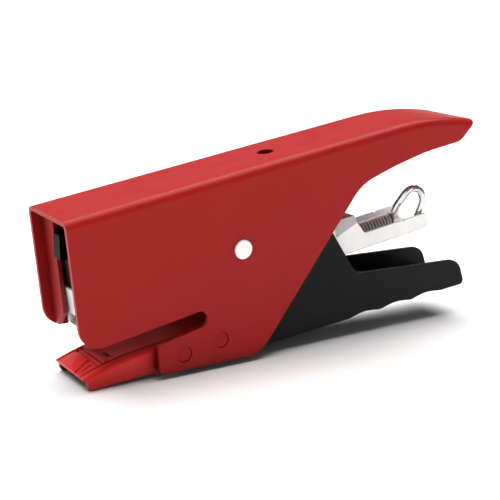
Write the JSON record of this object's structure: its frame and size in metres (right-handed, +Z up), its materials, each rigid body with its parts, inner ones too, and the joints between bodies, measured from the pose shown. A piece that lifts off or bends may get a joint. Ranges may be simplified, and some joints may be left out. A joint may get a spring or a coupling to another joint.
{
  "type": "plier stapler",
  "caption": "Hand-held plier stapler: folded sheet frame with a fixed anvil jaw, a squeezing lever, a staple magazine on the same pivot pin and a pull-out wire pusher.",
  "frame": {"origin": "centre of the bounding box's underside, with the anvil's front feet on z = 0", "axes": "+X from the nose towards the handles, +Y across the stapler, +Z up"},
  "size_m": [0.1449, 0.0284, 0.0685],
  "materials": {
    "red_paint": "satin",
    "black_paint": "satin",
    "nickel": "satin",
    "blued_steel": "satin",
    "steel": "satin"
  },
  "bodies": {
    "frame": {"frame_shell": "red_paint", "anvil": "red_paint", "anvil_rivets": "red_paint", "pivot_pin": "nickel", "spacer_near": "steel", "spacer_far": "steel", "nose_guide_near": "red_paint", "nose_guide_far": "red_paint"},
    "lever": {"lever_shell": "black_paint", "hammer_block": "black_paint", "hammer_pin": "steel"},
    "magazine": {"magazine_channel": "nickel", "magazine_nose_plate": "nickel", "magazine_cover": "nickel", "magazine_top_plate": "nickel", "staple_rail": "steel", "rail_rivets": "steel", "staple_strip": "steel", "return_spring": "steel"},
    "driver": {"driver_blade": "blued_steel"},
    "pusher": {"pusher_block": "steel", "pusher_rod": "nickel", "pusher_spring": "nickel", "spring_washer": "steel"}
  },
  "joints": [
    {"name": "lever_hinge", "type": "hinge", "parent": "frame", "child": "lever", "pos_m": [-0.0167, 0, 0.0358], "axis": [0, -1, 0], "range_deg": [0, 16.5], "stiffness_Nm_per_rad": 0.6, "springref_deg": -8.59, "deforming": ["return_spring"]},
    {"name": "magazine_hinge", "type": "hinge", "parent": "frame", "child": "magazine", "pos_m": [-0.0167, 0, 0.0358], "axis": [0, -1, 0], "range_deg": [0, 7.5]},
    {"name": "driver_slide", "type": "slide", "parent": "magazine", "child": "driver", "axis": [0.1444, 0, -0.9895], "range_m": [0, 0.00735]},
    {"name": "pusher_slide", "type": "slide", "parent": "magazine", "child": "pusher", "axis": [0.9895, 0, 0.1444], "range_m": [0, 0.06]}
  ],
  "couplings": [
    {"joint": "magazine_hinge", "follows": "lever_hinge", "ratio": 0.4545},
    {"joint": "driver_slide", "follows": "lever_hinge", "m_per_rad": 0.02552}
  ]
}
